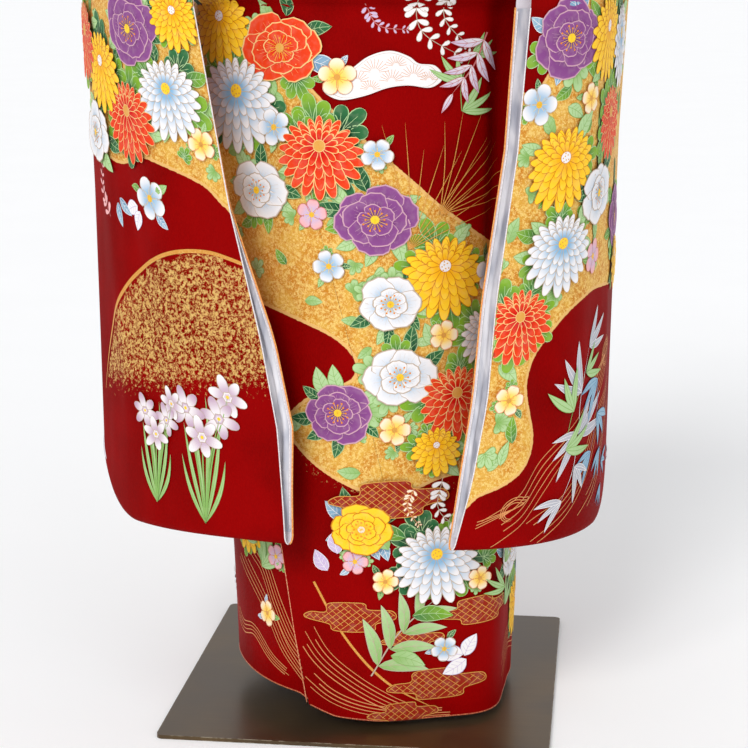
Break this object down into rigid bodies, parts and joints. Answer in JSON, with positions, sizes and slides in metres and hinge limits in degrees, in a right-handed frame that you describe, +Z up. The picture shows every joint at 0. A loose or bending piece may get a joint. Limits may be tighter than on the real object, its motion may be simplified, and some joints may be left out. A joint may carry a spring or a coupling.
{
  "type": "furisode on a dress form",
  "caption": "Long-sleeved wrapped silk kimono with gold clouds and flowers, on a smooth limbless dress form with a pole and square base plate.",
  "frame": {"origin": "middle of the base plate's underside, on the surface it stands on", "axes": "+Z up along the pole, the garment's front faces -Y, +X is the wearer's left"},
  "size_m": [0.86, 0.48, 1.484],
  "materials": {
    "silk": "crimson silk crepe with painted and gold-leaf motifs",
    "lining": "smooth pale silk lining",
    "sash_silk": "plain ribbed gold silk",
    "form_cloth": "smooth off-white jersey over a hard form",
    "dark_steel": "dark warm-brown satin lacquer, slightly glossy"
  },
  "bodies": {
    "root": {"body_left": "silk", "body_right": "silk", "okumi_left": "silk", "okumi_right": "silk", "sleeve_left": "silk", "sleeve_right": "silk", "sleeve_lining_left": "lining", "sleeve_lining_right": "lining", "collar": "silk", "sash": "sash_silk", "torso": "form_cloth", "sleeve_bar_left": "dark_steel", "sleeve_bar_right": "dark_steel", "pole": "dark_steel", "base_plate": "dark_steel"}
  },
  "joints": []
}
